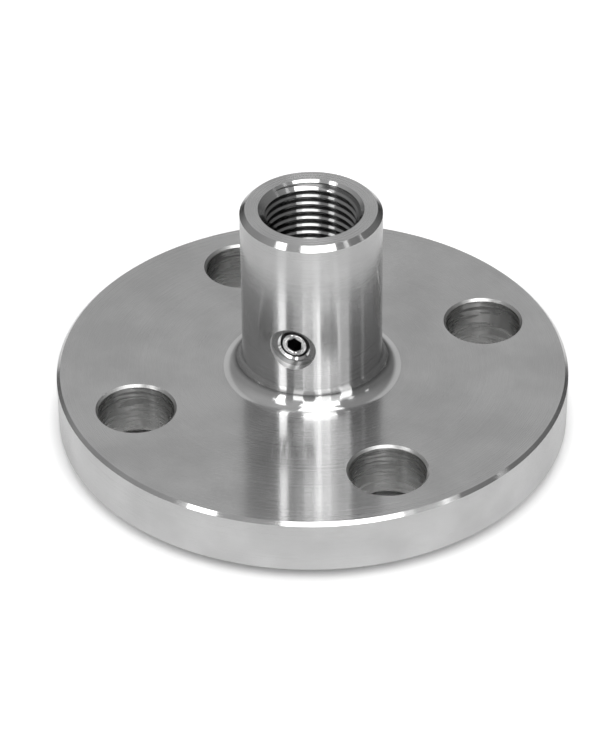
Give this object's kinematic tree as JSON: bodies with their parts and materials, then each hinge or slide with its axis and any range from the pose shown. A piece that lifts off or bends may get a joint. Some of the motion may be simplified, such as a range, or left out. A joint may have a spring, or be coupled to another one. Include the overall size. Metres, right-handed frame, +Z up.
{
  "type": "flanged gauge diaphragm seal",
  "caption": "Flanged diaphragm seal for a pressure gauge: steel plate with bolt holes, turned neck with a female threaded socket, side fill screw and corrugated foil.",
  "frame": {"origin": "centre of the raised face's contact plane, the lowest plane of the part", "axes": "+Z up the neck's axis, towards the gauge; the bolt holes straddle X and Y"},
  "size_m": [0.108, 0.108, 0.0537],
  "materials": {
    "turned_steel": "turned, fine circular tool marks",
    "foil": "bright rolled foil with pressed rings",
    "screw_steel": "plain machined",
    "ball_steel": "polished"
  },
  "bodies": {
    "root": {"body": "turned_steel", "diaphragm": "foil", "fill_screw": "screw_steel", "sealing_ball": "ball_steel"}
  },
  "joints": []
}
